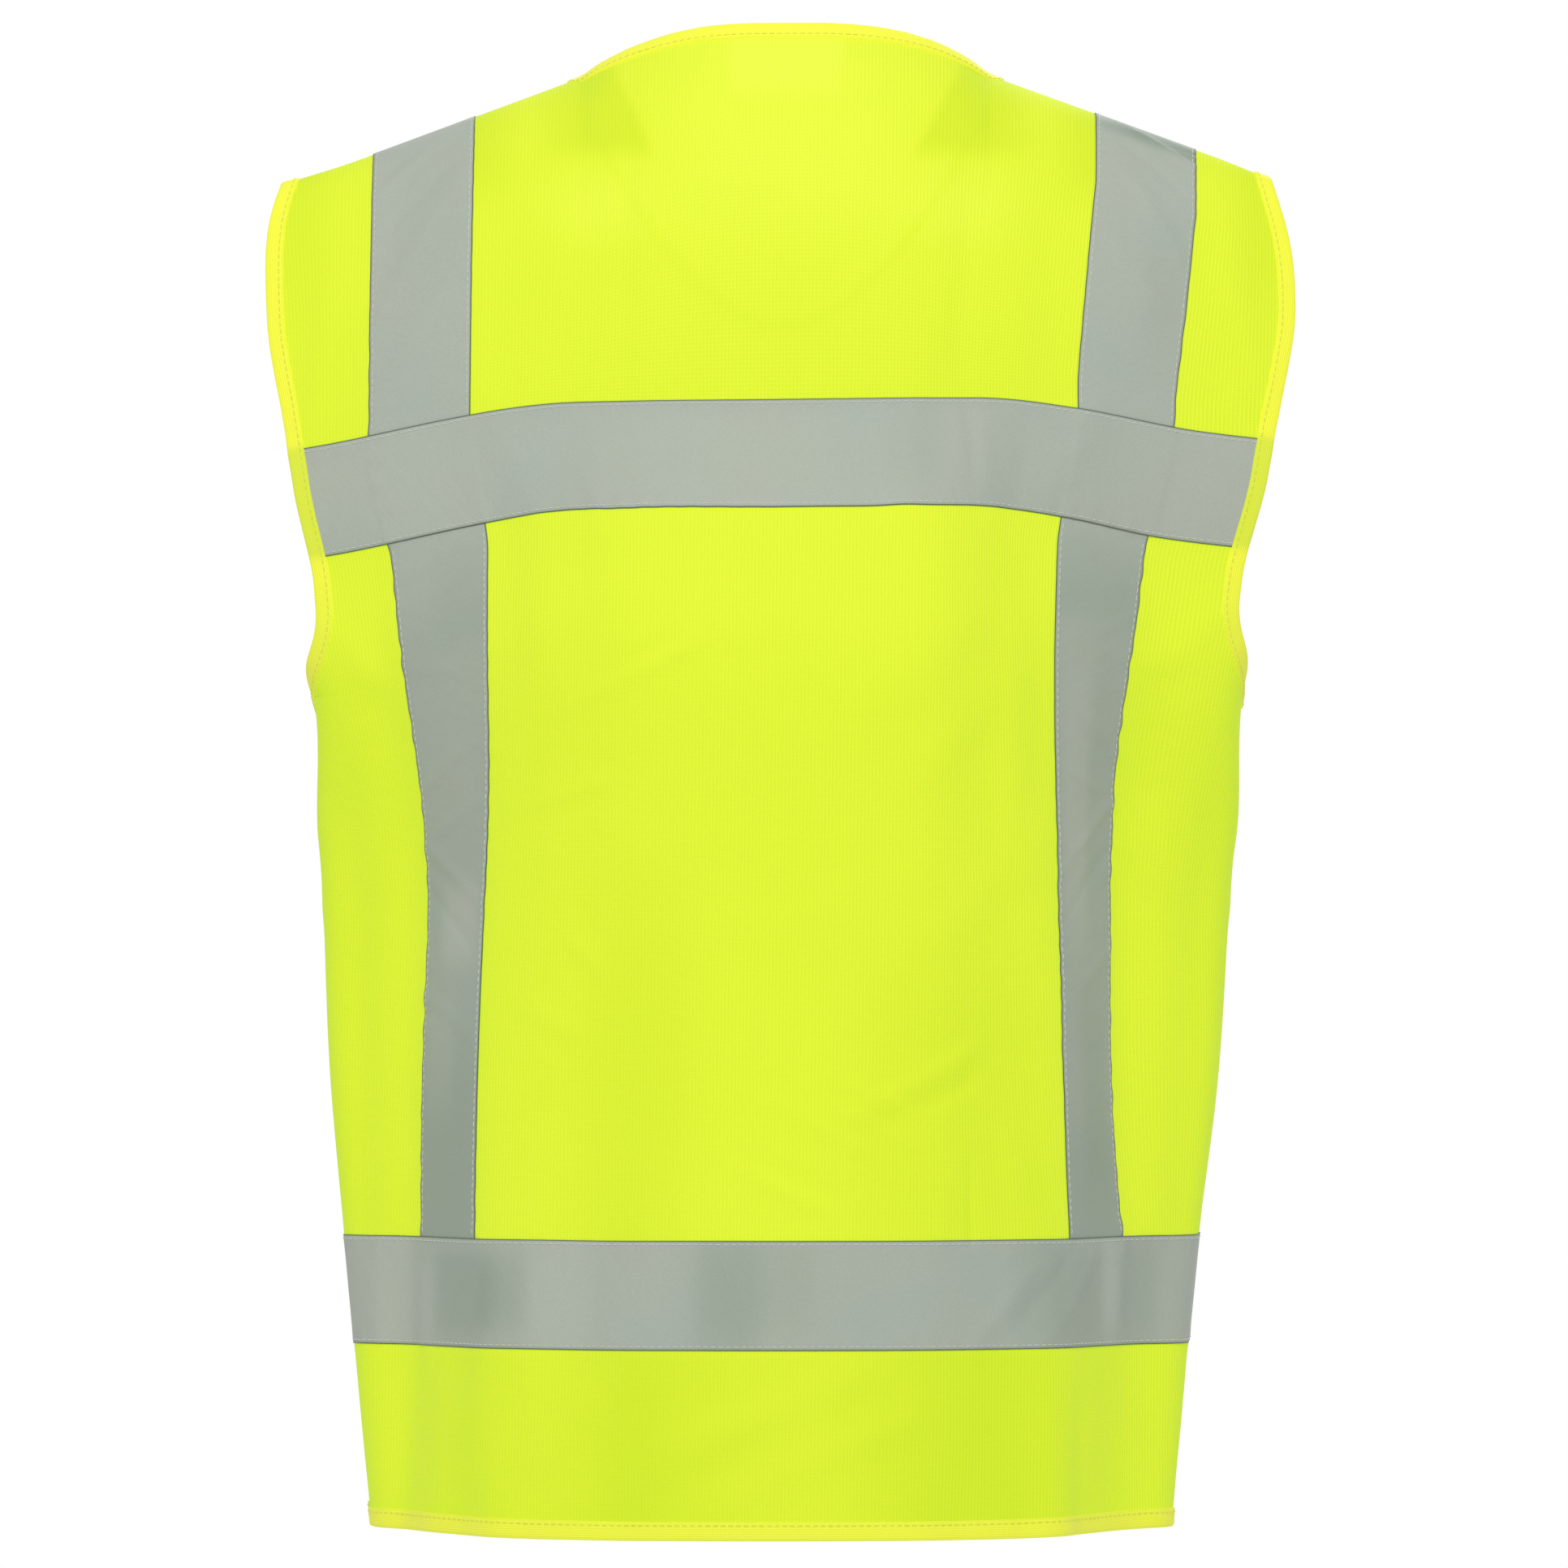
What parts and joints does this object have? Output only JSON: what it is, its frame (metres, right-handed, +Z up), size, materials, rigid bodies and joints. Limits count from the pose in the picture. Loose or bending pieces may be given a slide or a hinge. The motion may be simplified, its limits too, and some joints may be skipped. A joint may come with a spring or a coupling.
{
  "type": "high visibility vest",
  "caption": "Sleeveless high visibility vest that opens down the front, with reflective tapes over the shoulders, chest and waist and bound edges.",
  "frame": {"origin": "on the middle plane, level with the neck ends of the shoulder seams, where the vest hangs on the wearer", "axes": "+Z up, the front faces -Y, the wearer's left is +X"},
  "size_m": [0.4748, 0.2888, 0.696],
  "materials": {
    "cloth": "fluorescent yellow warp-knitted polyester, matt",
    "binding": "fluorescent yellow ribbed polyester tape, satin",
    "tape": "silver-grey glass bead retroreflective tape",
    "closure": "hook and loop pile, matt",
    "label": "white satin-weave label"
  },
  "bodies": {
    "garment": {"back_panel": "cloth", "left_side_front_panel": "cloth", "right_side_front_panel": "cloth", "left_brace_tape": "tape", "right_brace_tape": "tape", "chest_tape_back": "tape", "chest_tape_left_side": "tape", "chest_tape_right_side": "tape", "waist_tape_back": "tape", "left_armhole_binding": "binding", "right_armhole_binding": "binding", "neck_binding": "binding", "hem_binding": "binding"},
    "left_front": {"left_front_panel": "cloth", "left_front_edge_binding": "binding", "left_front_hem_binding": "binding", "chest_tape_left_front": "tape", "waist_tape_left_front": "tape", "hook_strip": "closure"},
    "right_front": {"right_front_panel": "cloth", "right_front_edge_binding": "binding", "right_front_hem_binding": "binding", "chest_tape_right_front": "tape", "waist_tape_right_front": "tape", "loop_strip": "closure"},
    "size_label": {"size_label": "label"},
    "care_label": {"care_label": "label"}
  },
  "joints": [
    {"name": "left_front_swing", "type": "hinge", "parent": "garment", "child": "left_front", "pos_m": [0.13225, -0.11454, -0.67019], "axis": [-0.0465, 0.1047, 0.9934], "range_deg": [0, 80]},
    {"name": "right_front_swing", "type": "hinge", "parent": "garment", "child": "right_front", "pos_m": [-0.13225, -0.11454, -0.67019], "axis": [-0.0465, -0.1047, -0.9934], "range_deg": [0, 52]},
    {"name": "size_label_swing", "type": "hinge", "parent": "garment", "child": "size_label", "pos_m": [0, 0.05485, 0.0122], "axis": [1, 0, 0], "range_deg": [-115, 8]},
    {"name": "care_label_swing", "type": "hinge", "parent": "garment", "child": "care_label", "pos_m": [0.19525, -0.0295, -0.501], "axis": [0, 0, 1], "range_deg": [0, 150]}
  ],
  "couplings": [
    {"joint": "right_front_swing", "follows": "left_front_swing", "ratio": 0.65}
  ]
}
